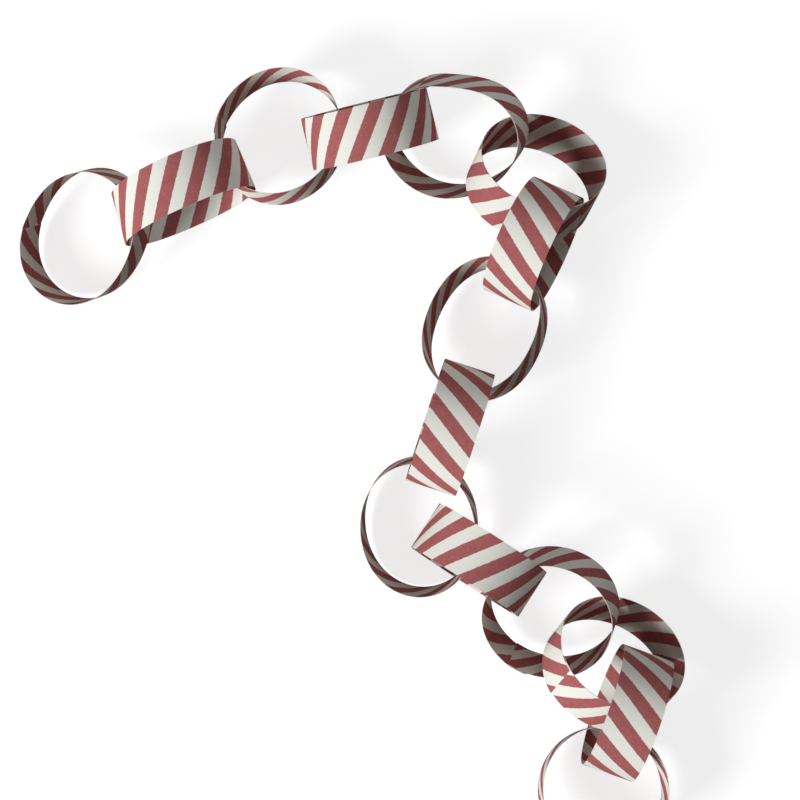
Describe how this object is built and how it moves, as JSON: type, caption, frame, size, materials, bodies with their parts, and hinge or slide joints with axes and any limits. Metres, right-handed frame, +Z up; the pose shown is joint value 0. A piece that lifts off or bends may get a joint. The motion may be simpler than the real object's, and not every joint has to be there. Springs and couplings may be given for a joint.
{
  "type": "paper chain garland",
  "caption": "Decorative chain of striped paper rings, each one a strip glued end over end and threaded through the ring before it, lying in a curve on a table.",
  "frame": {"origin": "on the table, below the middle of the chain's outline seen from above", "axes": "+Z up from the table, +Y along the chain's longest side, towards the end where it bends over"},
  "size_m": [0.3248, 0.3854, 0.0668],
  "materials": {
    "striped_paper": "matt printed paper with slanted red and white stripes"
  },
  "bodies": {
    "root": {"link_01": "striped_paper", "link_02": "striped_paper", "link_03": "striped_paper", "link_04": "striped_paper", "link_05": "striped_paper", "link_06": "striped_paper", "link_07": "striped_paper", "link_08": "striped_paper", "link_09": "striped_paper", "link_10": "striped_paper", "link_11": "striped_paper", "link_12": "striped_paper", "link_13": "striped_paper", "link_14": "striped_paper", "link_15": "striped_paper"}
  },
  "joints": []
}
